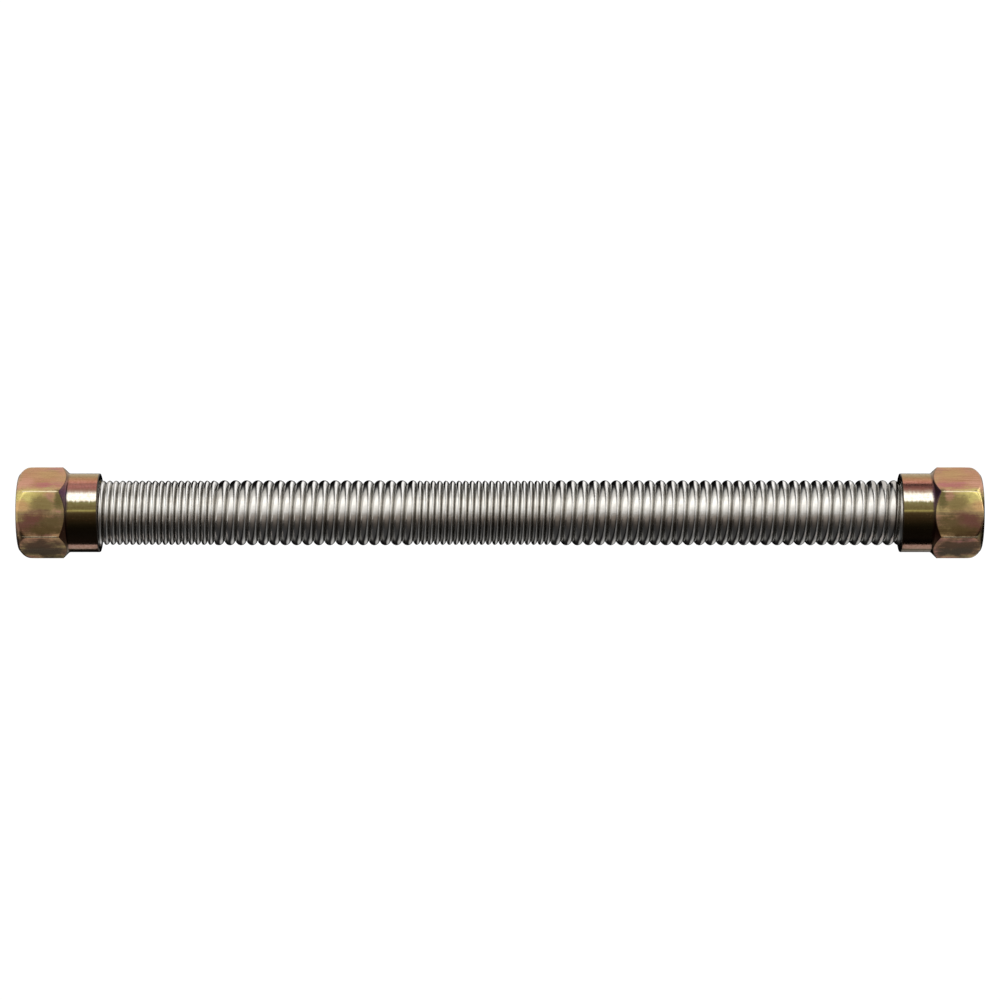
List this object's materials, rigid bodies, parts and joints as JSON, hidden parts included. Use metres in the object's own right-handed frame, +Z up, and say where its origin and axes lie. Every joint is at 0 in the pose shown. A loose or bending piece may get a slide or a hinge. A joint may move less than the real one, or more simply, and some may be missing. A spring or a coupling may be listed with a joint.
{
  "type": "flex line",
  "caption": "Straight helically corrugated stainless water connector with a swivelling plated hexagon union nut and a flat gasket at each end.",
  "frame": {"origin": "centre of the bounding box, on the tube's axis", "axes": "+X along the tube's axis towards the right nut, +Z up, square to a flat of each nut, which rests on the flat opposite, +Y through a corner of each nut"},
  "size_m": [0.381, 0.0366, 0.0318],
  "materials": {
    "stainless_steel": "satin",
    "yellow_zinc_plating": "iridescent yellow chromate over turned steel",
    "black_rubber": "matte"
  },
  "bodies": {
    "tube": {"corrugated_tube": "stainless_steel", "left_gasket": "black_rubber", "right_gasket": "black_rubber"},
    "left_nut": {"left_nut": "yellow_zinc_plating"},
    "right_nut": {"right_nut": "yellow_zinc_plating"}
  },
  "joints": [
    {"name": "left_swivel", "type": "hinge", "parent": "tube", "child": "left_nut", "pos_m": [-0.1745, 0, 0], "axis": [1, 0, 0], "continuous": true},
    {"name": "right_swivel", "type": "hinge", "parent": "tube", "child": "right_nut", "pos_m": [0.1745, 0, 0], "axis": [1, 0, 0], "continuous": true}
  ]
}
